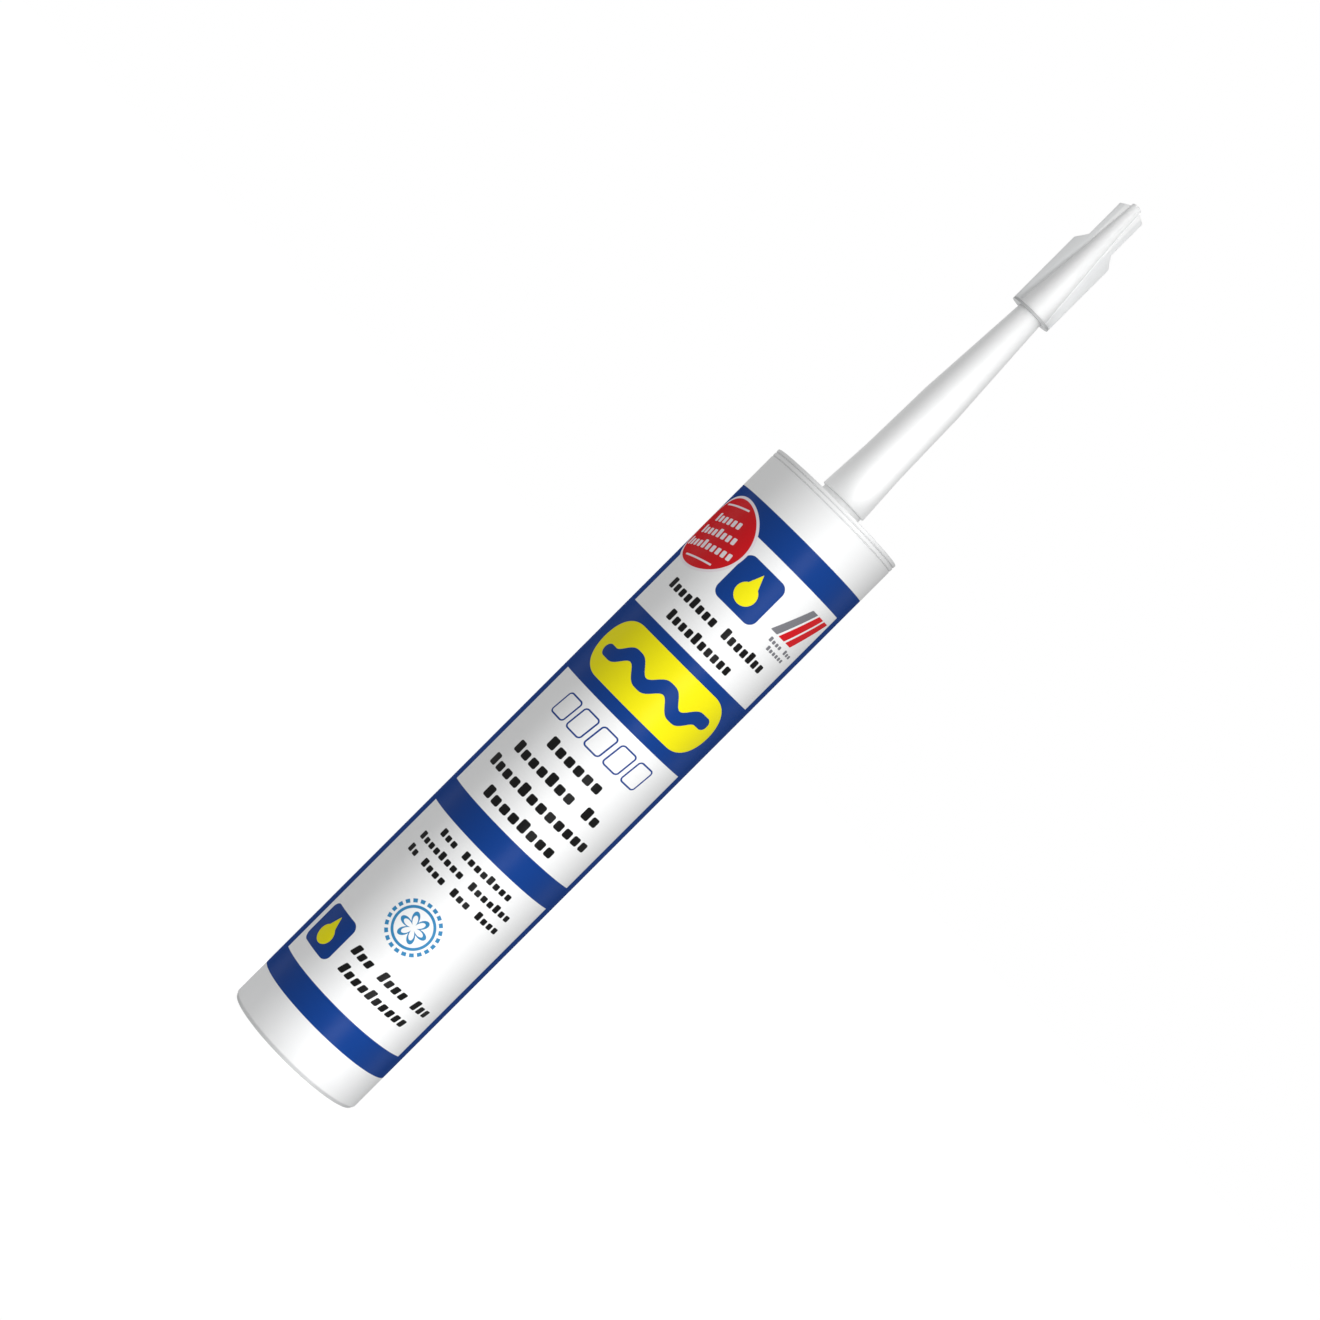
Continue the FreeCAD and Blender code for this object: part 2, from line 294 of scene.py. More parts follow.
def turnedMesh(name, corners, material, segments=128, shownLength=None, shownShare=0.5):
    # A piece turned from its corners. The map gives the shown length its own share of the height.
    points = roundedProfile(corners)
    line = bpy.data.curves.new(name + "Profile", "CURVE")
    line.dimensions = "3D"
    spline = line.splines.new("POLY")
    spline.points.add(len(points) - 1)
    for point, place in zip(spline.points, points):
        point.co = (place.x * mm, 0.0, place.y * mm, 1.0)
    carrier = carry(name + "Profile", line)
    whole = sum((b - a).length for a, b in zip(points, points[1:])) * mm
    values = {
        "Segments": segments,
        "Shown Length": shownLength * mm if shownLength else whole / 2,
        "Whole Length": whole,
        "Shown Share": shownShare,
    }
    mesh = outward(runTree(carrier, turning, values, material))
    mesh.name = name
    bpy.data.objects.remove(carrier)
    return mesh


def fuse(mesh, *others):
    # One moulding out of several closed shapes
    carrier = carry(mesh.name, mesh)
    helpers = [carry(other.name, other) for other in others]
    for helper in helpers:
        union = carrier.modifiers.new(helper.name, "BOOLEAN")
        union.operation = "UNION"
        union.solver = "EXACT"
        union.object = helper
    graph = bpy.context.evaluated_depsgraph_get()
    fused = bpy.data.meshes.new_from_object(carrier.evaluated_get(graph), depsgraph=graph)
    for item in (carrier, *helpers):
        bpy.data.objects.remove(item)
    fused.materials.clear()
    fused.materials.append(mesh.materials[0])
    return outward(fused)


def plateMesh(name, outline, thickness, rounding, material):
    # A flat plate: its outline in the XZ plane, thick along Y, with softened edges
    plate = bmesh.new()
    sides = []
    for depth in (-thickness / 2, thickness / 2):
        sides.append([plate.verts.new((x * mm, depth * mm, z * mm)) for x, z in outline])
    front, back = sides
    plate.faces.new(front)
    plate.faces.new(back[::-1])
    for step in range(len(outline)):
        after = (step + 1) % len(outline)
        plate.faces.new((front[step], back[step], back[after], front[after]))
    bmesh.ops.recalc_face_normals(plate, faces=plate.faces)
    bmesh.ops.bevel(
        plate, geom=plate.edges[:], offset=rounding * mm, segments=2, affect="EDGES", profile=0.5
    )
    mesh = bpy.data.meshes.new(name)
    plate.to_mesh(mesh)
    plate.free()
    mesh.materials.append(material)
    return mesh


def addPiece(name, mesh, body, slot, *nodes):
    # Puts a mesh into the scene, where it rides on a body and may stand for solids
    piece = bpy.data.objects.new(name, mesh)
    bpy.context.scene.collection.objects.link(piece)
    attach(piece, body)
    if nodes:
        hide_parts(*nodes)
    return piece


# Detail of the clouds and of the skin in every plastic, and the skin's depth in mm
unevenness = dict(cloudDetail=3.0, skinDetail=2.0, skinDepth=0.1)


def plastic(name, finish, roughness, specular, grain):
    # Moulded plastic: a satin skin with a little unevenness in its gloss and its surface.
    # A finish gives the colour, and how much duller than the rest a place is.
    made = bpy.data.materials.new(name)
    made.use_nodes = True
    made.node_tree.nodes.clear()
    base = Wire(made.node_tree)
    place = base.node("ShaderNodeTexCoord", output="Object")

    def noise(scale, detail):
        return base.node(
            "ShaderNodeTexNoise", sockets={"Vector": place, "Scale": scale, "Detail": detail}
        )

    cloud = noise(grain["cloud"], unevenness["cloudDetail"])
    skin = noise(grain["skin"], unevenness["skinDetail"])
    depth = unevenness["skinDepth"] * mm
    normal = base.node(
        "ShaderNodeBump",
        sockets={"Height": skin, "Strength": grain["strength"], "Distance": depth},
    )
    colour, duller = finish(base, place, cloud)
    shader = base.node(
        "ShaderNodeBsdfPrincipled",
        sockets={
            "Base Color": colour,
            "Specular IOR Level": specular,
            "Roughness": (cloud - 0.5) * grain["gloss"] + roughness + duller,
            "Normal": normal,
        },
    )
    base.node("ShaderNodeOutputMaterial", sockets={"Surface": shader})
    return made


barrel = dict(
    wall=1.5, collarHeight=2.4, collarRadius=7.6, neckRadius=5.6, neckWall=1.4, endWall=1.0,
    neckBevel=1.0, shoulderThick=1.9, shoulderRound=0.3, mouthRound=0.3,
    rimInset=0.75, rimHeight=1.3, rimFlat=0.3, rimShade=0.65, rimBlur=0.5,
    lineDrop=1.25, linePitch=1.5, lineWidth=0.6, lineDepth=0.3, lineRound=0.08, lineCore=0.7,
    lineShade=0.55,
)
shoulder = seatHeight - barrel["collarHeight"]
bore = barrelRadius - barrel["wall"]


def barrelGrooves():
    # Middle height and half width of each fine groove in the wall
    drop = shoulder - barrel["lineDrop"]
    half = barrel["lineWidth"] / 2
    return [(drop - barrel["linePitch"], half), (drop, half)]


# Print: places in mm along the wall's arc and above the base rim, sides in degrees from the front
printing = dict(
    blur=0.14, printedWall=0.7, wallBlur=0.1,
    white=(0.905, 0.91, 0.91, 1.0),
    offWhite=(0.885, 0.89, 0.892, 1.0),
    blue=(0.0025, 0.042, 0.235, 1.0),
    lightBlue=(0.035, 0.23, 0.46, 1.0),
    red=(0.66, 0.006, 0.012, 1.0),
    yellow=(0.88, 0.8, 0.005, 1.0),
    black=(0.002, 0.002, 0.002, 1.0),
    grey=(0.2, 0.2, 0.22, 1.0),
    # Painted shade for the fine grooves and the cut end, not an ink
    shade=(0.6, 0.605, 0.61, 1.0),
    pale=(0.86, 0.8, 0.84, 1.0),
    bands=((13.6, 22.5), (85.55, 94.4), (141.85, 170.4), (209.35, 218.1)),
    border=(69.5, 98.0),
    dullSides=(62.0, 112.0), dullBlur=24.0, dullness=0.6,
    field=dict(centre=(-0.7, 156.4), half=(26.4, 10.4), rounding=10.4),
    bead=dict(reach=19.8, bends=17.8, halfWaves=5, swing=2.2, radius=2.2),
    badges=(((-1.0, 196.6), 8.2), ((-20.1, 36.1), 7.4)),
    badge=dict(rounding=0.35, ballDrop=0.22, ball=0.45, tipTop=0.72, tipFoot=0.05, tipSlope=0.42),
    oval=dict(centre=(-23.6, 202.1), half=(14.8, 13.8), turn=12.0, middle=14.0, edge=0.9,
              ruleHeight=0.72, ruleHalf=0.022, ruleReach=0.42),
    ovalRows=dict(top=7.3, pitch=4.87, tall=3.1, lines=((6,), (8,), (10,)), centre=0.3,
                  letter=2.25, fill=0.66, rounding=0.4, lean=0.1),
    bars=(((16.6, 199.3), "grey"), ((20.4, 199.3), "red"), ((24.2, 199.3), "red")),
    bar=dict(half=(1.5, 6.4), rounding=0.3, lean=0.5),
    outlines=dict(middle=133.6, centre=-0.4, pitch=7.9, half=(3.3, 4.4), count=5, lean=0.12,
                  rounding=1.4, line=0.55),
    emblem=dict(centre=(-0.7, 55.2), outer=8.2, outerHalf=0.6, inner=6.4, innerHalf=0.45,
                dashes=22, dashHalf=0.3, dashRadius=8.0, leaves=6, heart=1.5, leaf=2.9,
                leafHalf=0.62),
)
wordBlocks = (
    dict(top=186.0, pitch=7.25, tall=3.7, lines=((8, 7), (10,)), centre=-0.7, letter=2.7,
         fill=0.74, rounding=0.5, lean=0.0, ink="black"),
    dict(top=127.2, pitch=7.87, tall=4.1, lines=((6,), (7, 2), (12,), (8,)), centre=-0.8,
         letter=3.8, fill=0.76, rounding=0.7, lean=0.0, ink="black"),
    dict(top=83.9, pitch=5.1, tall=2.7, lines=((3, 8), (8, 7), (2, 4, 3, 4)), centre=-0.8,
         letter=2.6, fill=0.74, rounding=0.45, lean=0.0, ink="black"),
    dict(top=41.8, pitch=6.4, tall=3.6, lines=((3, 4, 3), (10,)), centre=6.8, letter=2.85,
         fill=0.74, rounding=0.5, lean=0.28, ink="black"),
    dict(top=192.05, pitch=2.5, tall=1.6, lines=((4, 3), (6,)), centre=20.2, letter=1.6,
         fill=0.72, rounding=0.3, lean=0.0, ink="grey"),
)
# Cells in a row, and how high, how long and how sharp the words are in them
lettering = dict(
    cells=24, edge=0.01, lowHeight=0.74, longWord=6, secondTall=4, shown=0.5, shownBlur=0.1,
    cut=0.02,
)
degree = math.radians(1.0) * barrelRadius  # arc of one degree, in mm


def vector(wire, operation, *values, output=0):
    sockets = dict(enumerate((wire,) + values))
    return wire.node("ShaderNodeVectorMath", {"operation": operation}, sockets, output)


def flatPoint(base, across, up):
    return base.node("ShaderNodeCombineXYZ", sockets={"X": across, "Y": up})


def boxDistance(point, centre, half, rounding):
    # Distance from a box with rounded corners, below zero inside it
    offset = vector(vector(point, "SUBTRACT", (*centre, 0.0)), "ABSOLUTE")
    inner = (half[0] - rounding, half[1] - rounding, 0.0)
    outside = vector(vector(offset, "SUBTRACT", inner), "MAXIMUM", (0.0, 0.0, 0.0))
    return vector(outside, "LENGTH", output=1) - rounding


def filled(distance):
    return 1 - distance.rises(0.0, printing["blur"])


def outlined(distance, width):
    return filled(abs(distance + width / 2) - width / 2)


def paint(under, ink, mask):
    # The mask's share of ink over what lies under it, both colours or wires of colour
    return mask.node("ShaderNodeMix", {"data_type": "RGBA"}, {0: mask, 6: under, 7: ink}, 2)


def rowStops(lines, cells):
    # Where words start and end, one row after the other along a single ramp.
    # A word's first cell, and the fifth of a long word, is as tall as the row.
    low = lettering["lowHeight"]
    stops = [(0.0, 0.0)]
    for number, words in enumerate(lines):
        cell = (cells - sum(words) - len(words) + 1) // 2
        for word in words:
            heights = [(1.0, 0), (low, 1)]
            if word > lettering["longWord"]:
                tall = lettering["secondTall"]
                heights += [(1.0, tall), (low, tall + 1)]
            for level, step in heights + [(0.0, word)]:
                stops.append(((number + (cell + step) / cells) / len(lines), level))
            cell += word + 1
    return stops


def wordRows(base, arc, height, rows):
    # Rows of small rounded blocks where the tube has lettering
    cells = lettering["cells"]
    count = len(rows["lines"])
    low = rows["top"] - rows["pitch"] * count
    leaning = arc - (height - (rows["top"] + low) / 2) * rows["lean"]
    down = (rows["top"] - height) / rows["pitch"]
    across = (leaning - rows["centre"]) / rows["letter"] + cells / 2
    last = cells - lettering["edge"]
    inRow = across.node("ShaderNodeClamp", sockets={"Value": across, "Max": last})
    inRow = inRow.maths("FLOOR") + 0.5
    level = base.node(
        "ShaderNodeValToRGB",
        {"stops": rowStops(rows["lines"], cells)},
        {"Fac": (down.maths("FLOOR") + inRow / cells) / count},
    )
    sideways = abs(across.maths("FRACT") - 0.5) * rows["letter"]
    upwards = (1 - down.maths("FRACT")) * rows["pitch"] - (rows["pitch"] - rows["tall"]) / 2
    half = level * (rows["tall"] / 2)
    corner = rows["rounding"]
    inner = (rows["letter"] * rows["fill"] / 2 - corner, -corner, 0.0)
    outside = vector(flatPoint(base, sideways, abs(upwards - half) - half), "SUBTRACT", inner)
    outside = vector(outside, "MAXIMUM", (0.0, 0.0, 0.0))
    block = filled(vector(outside, "LENGTH", output=1) - corner)
    block = block * level.rises(lettering["shown"], lettering["shownBlur"])
    return block * height.within(low, rows["top"], lettering["cut"])


def shadeLines(colour, height):
    # Painted shade that gathers in the fine grooves and at the cut end
    for middle, half in barrelGrooves():
        core = half * barrel["lineCore"]
        line = height.within(middle - core, middle + core, half)
        colour = paint(colour, printing["shade"], line * barrel["lineShade"])
    foot = 1 - height.rises(barrel["rimHeight"], barrel["rimBlur"])
    return paint(colour, printing["shade"], foot * barrel["rimShade"])


def printBands(colour, arc, height):
    # Blue bands all round, and a wide border down each side of the front
    blur = printing["blur"]
    bands = printing["bands"]
    blue = height.within(*bands[0], blur)
    for low, high in bands[1:]:
        blue = blue + height.within(low, high, blur)
    edge = abs(arc).within(printing["border"][0] * degree, printing["border"][1] * degree, blur)
    edge = edge * height.within(bands[0][0], bands[-1][1], blur)
    return paint(colour, printing["blue"], blue.maths("MAXIMUM", edge))


def printField(base, colour, arc, height):
    # Yellow field with a blue bead line that waves through it
    field = printing["field"]
    bead = printing["bead"]
    across = arc - field["centre"][0]
    pill = boxDistance(
        flatPoint(base, arc, height), field["centre"], field["half"], field["rounding"]
    )
    colour = paint(colour, printing["yellow"], filled(pill))

    def clamped(limit):
        return base.node("ShaderNodeClamp", sockets={"Value": across, "Min": -limit, "Max": limit})

    angle = bead["halfWaves"] * math.pi / (2 * bead["bends"])
    swing = clamped(bead["bends"]) * angle
    rise = swing.maths("COSINE") * (bead["swing"] * angle)
    steep = (rise * rise + 1).maths("SQRT")
    beside = (height - field["centre"][1] - swing.maths("SINE") * bead["swing"]) / steep
    spot = flatPoint(base, across - clamped(bead["reach"]), beside)
    line = filled(vector(spot, "LENGTH", output=1) - bead["radius"])
    return paint(colour, printing["blue"], line)


def printBadges(base, colour, arc, height):
    # Each badge is a blue rounded square with a yellow drop
    drop = printing["badge"]
    point = flatPoint(base, arc, height)
    for centre, half in printing["badges"]:
        square = boxDistance(point, centre, (half, half), half * drop["rounding"])
        colour = paint(colour, printing["blue"], filled(square))
        middle = (centre[0], centre[1] - half * drop["ballDrop"], 0.0)
        ball = vector(point, "DISTANCE", middle, output=1) - half * drop["ball"]
        below = centre[1] + half * drop["tipTop"] - height
        tip = filled(abs(arc - centre[0]) - below * drop["tipSlope"])
        tip = tip * height.rises(centre[1] - half * drop["tipFoot"], printing["blur"])
        colour = paint(colour, printing["yellow"], filled(ball).maths("MAXIMUM", tip))
    return colour


def printOval(base, colour, arc, height):
    # Red oval with a pale edge, two light rules and pale rows
    oval = printing["oval"]
    wide, tall = oval["half"]
    middle = oval["middle"]
    place = base.node(
        "ShaderNodeMapping",
        {"vector_type": "TEXTURE"},
        {
            "Vector": flatPoint(base, arc, height),
            "Location": (*oval["centre"], 0.0),
            "Rotation": (0.0, 0.0, math.radians(oval["turn"])),
            "Scale": (wide, tall, 1.0),
        },
    )
    reach = (vector(place, "LENGTH", output=1) - 1) * middle
    colour = paint(colour, printing["pale"], filled(reach))
    colour = paint(colour, printing["red"], filled(reach + oval["edge"]))
    across = base.node("ShaderNodeSeparateXYZ", sockets={0: place})
    up = across.other("Y")
    rule = filled((abs(abs(up) - oval["ruleHeight"]) - oval["ruleHalf"]) * middle)
    rule = rule * filled((abs(across) - oval["ruleReach"]) * middle)
    words = wordRows(base, across * wide, up * tall, printing["ovalRows"])
    return paint(colour, printing["pale"], rule.maths("MAXIMUM", words))


def printBars(base, colour, arc, height):
    # Leaning red and grey bars
    bar = printing["bar"]
    for centre, ink in printing["bars"]:
        leaning = arc - (height - centre[1]) * bar["lean"]
        spot = flatPoint(base, leaning, height)
        inside = filled(boxDistance(spot, centre, bar["half"], bar["rounding"]))
        colour = paint(colour, printing[ink], inside)
    return colour


def printOutlines(base, colour, arc, height):
    # A row of outlined blocks
    row = printing["outlines"]
    up = height - row["middle"]
    across = (arc - up * row["lean"] - row["centre"]) / row["pitch"]
    inBlock = ((across + row["count"] / 2).maths("FRACT") - 0.5) * row["pitch"]
    block = boxDistance(flatPoint(base, inBlock, up), (0.0, 0.0), row["half"], row["rounding"])
    line = outlined(block, row["line"]) * filled(abs(across) - row["count"] / 2)
    return paint(colour, printing["blue"], line)


def printEmblem(base, colour, arc, height):
    # Round emblem: a broken ring, a plain ring and a six-leaved rosette
    emblem = printing["emblem"]
    centred = vector(flatPoint(base, arc, height), "SUBTRACT", (*emblem["centre"], 0.0))
    across = base.node("ShaderNodeSeparateXYZ", sockets={0: centred})
    radius = vector(centred, "LENGTH", output=1)
    angle = across.maths("ARCTAN2", across.other("Y"))
    dash = (angle * (emblem["dashes"] / (2 * math.pi))).maths("FRACT")
    dash = abs(dash - 0.5) - emblem["dashHalf"]
    dash = filled(dash * (2 * math.pi * emblem["dashRadius"] / emblem["dashes"]))
    ring = filled(abs(radius - emblem["outer"]) - emblem["outerHalf"]) * dash
    inner = filled(abs(radius - emblem["inner"]) - emblem["innerHalf"])
    leaf = abs((angle * (emblem["leaves"] / 2)).maths("SINE")) * emblem["leaf"]
    petal = filled(abs(radius - emblem["heart"] - leaf) - emblem["leafHalf"])
    drawn = ring.maths("MAXIMUM", inner).maths("MAXIMUM", petal)
    return paint(colour, printing["lightBlue"], drawn)


def barrelPrint(base, place, cloud):
    across = base.node("ShaderNodeSeparateXYZ", sockets={0: place})
    depth = across.other("Y")
    arc = across.maths("ARCTAN2", depth * -1) * barrelRadius
    height = across.other("Z") / mm
    colour = shadeLines(paint(printing["offWhite"], printing["white"], cloud), height)
    colour = printBands(colour, arc, height)
    for draw in (printField, printBadges, printOval, printBars, printOutlines, printEmblem):
        colour = draw(base, colour, arc, height)
    for rows in wordBlocks:
        colour = paint(colour, printing[rows["ink"]], wordRows(base, arc, height, rows))
    # Only the outer wall is printed, and its ink is duller down the sides
    radius = (across * across + depth * depth).maths("SQRT") / mm
    printed = radius.rises(barrelRadius - printing["printedWall"], printing["wallBlur"])
    colour = paint(printing["white"], colour, printed)
    side = (abs(arc) / degree).within(*printing["dullSides"], printing["dullBlur"])
    return colour, side * printing["dullness"]


# Unevenness of the plastics: clouds in the gloss, and a fine skin in the surface
satinGrain = dict(cloud=35.0, skin=1400.0, strength=0.06, gloss=0.12)
fineGrain = dict(cloud=60.0, skin=900.0, strength=0.015, gloss=0.1)

nozzle = dict(
    baseRadius=8.4, skirtHeight=17.0, skirtRadius=7.4, shankHeight=42.5, shankRadius=6.8,
    tipLength=27.6, taperRadius=4.58, tipRadius=2.2, tipBore=1.1, wall=1.2, socket=6.35,
    socketDepth=16.0, skirtRound=12.0, shankRound=40.0, taperRound=30.0,
)
cap = dict(
    clearance=0.1, endGap=0.3, wall=0.75, coneRound=20.0, topRadius=1.75, topRound=0.5,
    hollow=1.0, endWall=1.5,
    wingThick=1.1, wingSpan=7.25, wingHeight=26.1, wingStep=3.8, upperSpan=4.7,
    upperHeight=43.2, wingSlant=2.0, flangeThick=0.8, flangeLip=0.35,
    wingRound=0.15, flangeSteps=64, wingShadeFrom=0.2, wingShadeBlur=0.5, flangeShadeBlur=0.1,
    # Painted shade: the wings' grey and the flange edge's darker grey
    cone=(0.9, 0.905, 0.905, 1.0), wingShade=(0.79, 0.8, 0.805, 1.0), edge=(0.48, 0.49, 0.495, 1.0),
)
overlap = nozzleTip - capRim
slope = (nozzle["taperRadius"] - nozzle["tipRadius"]) / nozzle["tipLength"]
mouth = nozzle["tipRadius"] + slope * overlap + cap["clearance"]
stepRadius = nozzle["tipRadius"] + cap["clearance"]
stepHeight = nozzleTip + cap["endGap"]


def capPaintedShade(base, place, cloud):
    # Painted shade: the thin wings are painted greyer than the cone, and the rim's edge darker still
    corner = base.node("ShaderNodeSeparateXYZ", sockets={0: place})
    height = corner.other("Z") / mm
    limits = {"From Min": capRim, "From Max": stepHeight}
    reach = {"To Min": mouth + cap["wall"], "To Max": stepRadius + cap["wall"]}
    radius = base.node("ShaderNodeMapRange", sockets={"Value": height, **limits, **reach})
    wingShade = (abs(corner) / mm - radius).rises(cap["wingShadeFrom"], cap["wingShadeBlur"])
    colour = paint(cap["cone"], cap["wingShade"], wingShade)
    edge = 1 - height.rises(capRim + cap["flangeThick"], cap["flangeShadeBlur"])
    return paint(colour, cap["edge"], edge), 0.0


def cloudy(colour, depth=0.03):
    # A plain moulding whose colour is a little uneven
    darker = tuple(part * (1 - depth) for part in colour[:3]) + (1.0,)

    def finish(base, place, cloud):
        return paint(darker, colour, cloud), 0.0

    return finish


# Finish, roughness and specular level of each plastic, and its grain
nozzleFinish = cloudy((0.92, 0.925, 0.925, 1.0))
pistonFinish = cloudy((0.84, 0.85, 0.84, 1.0))
pasteFinish = cloudy((0.88, 0.88, 0.86, 1.0))
barrelPlastic = plastic("barrelPlastic", barrelPrint, 0.34, 0.12, satinGrain)
nozzlePlastic = plastic("nozzlePlastic", nozzleFinish, 0.4, 0.4, satinGrain)
# The cap's colour carries painted shade on its wings and its flange's edge
capPlastic = plastic("capPlastic", capPaintedShade, 0.36, 0.3, fineGrain)
pistonPlastic = plastic("pistonPlastic", pistonFinish, 0.46, 0.4, satinGrain)
sealantPaste = plastic("sealantPaste", pasteFinish, 0.5, 0.4, satinGrain)
print("materials made")


def barrelCorners():
    # Radius, height and rounding of each corner, up the outside and down the bore
    inside = shoulder - barrel["shoulderThick"]
    neck = barrel["neckRadius"]
    rimOuter = barrelRadius - barrel["rimInset"]
    rimMiddle = rimOuter - barrel["rimFlat"]
    corners = [
        (rimMiddle, 0.0, 0),
        (rimOuter, 0.0, 0.25),
        (barrelRadius, barrel["rimHeight"], 0.5),
    ]
    for middle, half in barrelGrooves():
        corners += [
            (barrelRadius, middle - half, barrel["lineRound"]),
            (barrelRadius - barrel["lineDepth"], middle, barrel["lineRound"]),
            (barrelRadius, middle + half, barrel["lineRound"]),
        ]
    corners += [
        (barrelRadius, shoulder, barrel["shoulderRound"]),
        (barrel["collarRadius"], shoulder, 0.3),
        (barrel["collarRadius"], seatHeight, 0.25),
        (neck, seatHeight, 0.2),
        (neck, neckTop - barrel["neckBevel"], 0.3),
        (neck - barrel["neckBevel"], neckTop, 0.3),
        (0.0, neckTop, 0),
        (0.0, neckTop - barrel["endWall"], 0),
        (neck - barrel["neckWall"], neckTop - barrel["endWall"], 0.3),
        (neck - barrel["neckWall"], inside, 0.5),
        (bore, inside, 0.6),
        (bore, 0.0, barrel["mouthRound"]),
        (rimMiddle, 0.0, 0),
    ]
    return corners


shell = turnedMesh(
    "barrelShell", barrelCorners(), barrelPlastic, segments=160, shownLength=shoulder, shownShare=0.9
)
addPiece("barrelShell", shell, "barrel", "barrel_plastic", "barrel")

# Neck's thread
thread = dict(
    turns=3.0, pitch=2.9, centreRadius=5.45, ridge=0.72, foot=2.2, steps=64, sides=6,
    fade=12.0, thinnest=0.2,
)


def threadTree():
    # A ridge that climbs round the neck and fades out at both ends
    tree, given = newTree(
        "neckThread",
        {
            "Turns": "Float",
            "Pitch": "Float",
            "Radius": "Float",
            "Ridge": "Float",
            "Foot": "Float",
            "Steps": "Int",
            "Material": "Material",
        },
    )
    base = Wire(tree)
    helix = base.node(
        "GeometryNodeCurveSpiral",
        sockets={
            "Resolution": given["Steps"],
            "Rotations": given["Turns"],
            "Start Radius": given["Radius"],
            "End Radius": given["Radius"],
            "Height": given["Turns"] * given["Pitch"],
        },
    )
    along = base.node("GeometryNodeSplineParameter")
    size = (along.maths("MINIMUM", 1 - along) * thread["fade"]).maths("MINIMUM", 1.0)
    size = size.maths("MAXIMUM", thread["thinnest"])
    sized = base.node("GeometryNodeSetCurveRadius", sockets={"Curve": helix, "Radius": size})
    level = base.node("GeometryNodeSetCurveNormal", {"mode": "Z_UP"}, {"Curve": sized})
    section = base.node(
        "GeometryNodeCurvePrimitiveCircle",
        sockets={"Resolution": thread["sides"], "Radius": given["Ridge"]},
    )
    ridge = base.node(
        "GeometryNodeCurveToMesh",
        sockets={"Curve": level, "Profile Curve": section, "Fill Caps": True},
    )
    raised = base.node(
        "GeometryNodeTransform",
        sockets={
            "Geometry": ridge,
            "Translation": base.node("ShaderNodeCombineXYZ", sockets={"Z": given["Foot"]}),
        },
    )
    closeTree(tree, raised, given["Material"])
    return tree


holder = carry("neckThread", bpy.data.meshes.new("holder"))
values = {
    "Turns": thread["turns"],
    "Pitch": thread["pitch"] * mm,
    "Radius": thread["centreRadius"] * mm,
    "Ridge": thread["ridge"] * mm,
    "Foot": (seatHeight + thread["foot"]) * mm,
    "Steps": thread["steps"],
}
mesh = outward(runTree(holder, threadTree(), values, nozzlePlastic))
bpy.data.objects.remove(holder)
mesh.name = "neckThread"
addPiece("neckThread", mesh, "barrel", "barrel_plastic")

# Piston
piston = dict(
    wall=1.4, crown=1.8, skirtGap=0.9, lipGap=0.08, lipWidth=0.9, lipSlope=1.2, lipInset=1.2,
    frontInset=0.1, hubRadius=5.0, hubWall=1.4, ribs=8, ribThick=1.2, ribRound=0.15,
    ribRecess=5.0,
)


def pistonCorners():
    # Radius, height and rounding of each corner, down the outside and up the inside
    skirt = bore - piston["skirtGap"]
    lip = bore - piston["lipGap"]
    inner = skirt - piston["wall"]
    crown = pistonFront - piston["crown"]
    hub = piston["hubRadius"]
    recess = pistonRear + piston["ribRecess"]
    frontLip = pistonFront - piston["lipInset"]
    land = frontLip - piston["lipWidth"]
    return [
        (0.0, pistonFront, 0),
        (skirt - piston["frontInset"], pistonFront, 0.4),
        (lip, frontLip, 0.15),
        (lip, land, 0.15),
        (skirt, land - piston["lipSlope"], 0.4),
        (skirt, pistonRear + piston["lipWidth"] + piston["lipSlope"], 0.4),
        (lip, pistonRear + piston["lipWidth"], 0.15),
        (lip, pistonRear, 0.15),
        (inner, pistonRear, 0.3),
        (inner, crown, 0.8),
        (hub, crown, 0.5),
        (hub, recess, 0.3),
        (hub - piston["hubWall"], recess, 0.3),
        (hub - piston["hubWall"], crown, 0.5),
        (0.0, crown, 0),
    ]


def ribTree():
    # Plates set round the axis at equal angles
    tree, given = newTree(
        "radialRibs",
        {
            "Rib": "Geometry",
            "Ribs": "Int",
            "Material": "Material",
        },
    )
    base = Wire(tree)
    spots = base.node(
        "GeometryNodePoints", sockets={"Count": given["Ribs"], "Position": (0.0, 0.0, 0.0)}
    )
    turn = base.node("GeometryNodeInputIndex") * (2 * math.pi) / given["Ribs"]
    turned = base.node(
        "GeometryNodeInstanceOnPoints",
        sockets={
            "Points": spots,
            "Instance": given["Rib"],
            "Rotation": base.node("ShaderNodeCombineXYZ", sockets={"Z": turn}),
        },
    )
    closeTree(tree, turned, given["Material"])
    return tree


def ribsMesh():
    # The ribs run from the middle of the hub's wall to the middle of the skirt
    skirt = bore - piston["skirtGap"] - piston["wall"] / 2
    hub = piston["hubRadius"] - piston["hubWall"] / 2
    low, high = pistonRear + piston["ribRecess"], pistonFront - piston["crown"] / 2
    outline = [(hub, low), (skirt, low), (skirt, high), (hub, high)]
    plate = plateMesh("rib", outline, piston["ribThick"], piston["ribRound"], pistonPlastic)
    rib = carry("rib", plate)
    mesh = runTree(rib, ribTree(), {"Ribs": piston["ribs"]}, pistonPlastic)
    bpy.data.objects.remove(rib)
    mesh.name = "pistonRibs"
    return mesh


cup = turnedMesh("pistonCup", pistonCorners(), pistonPlastic)
addPiece("pistonCup", fuse(cup, ribsMesh()), "piston", "piston_plastic", "piston")

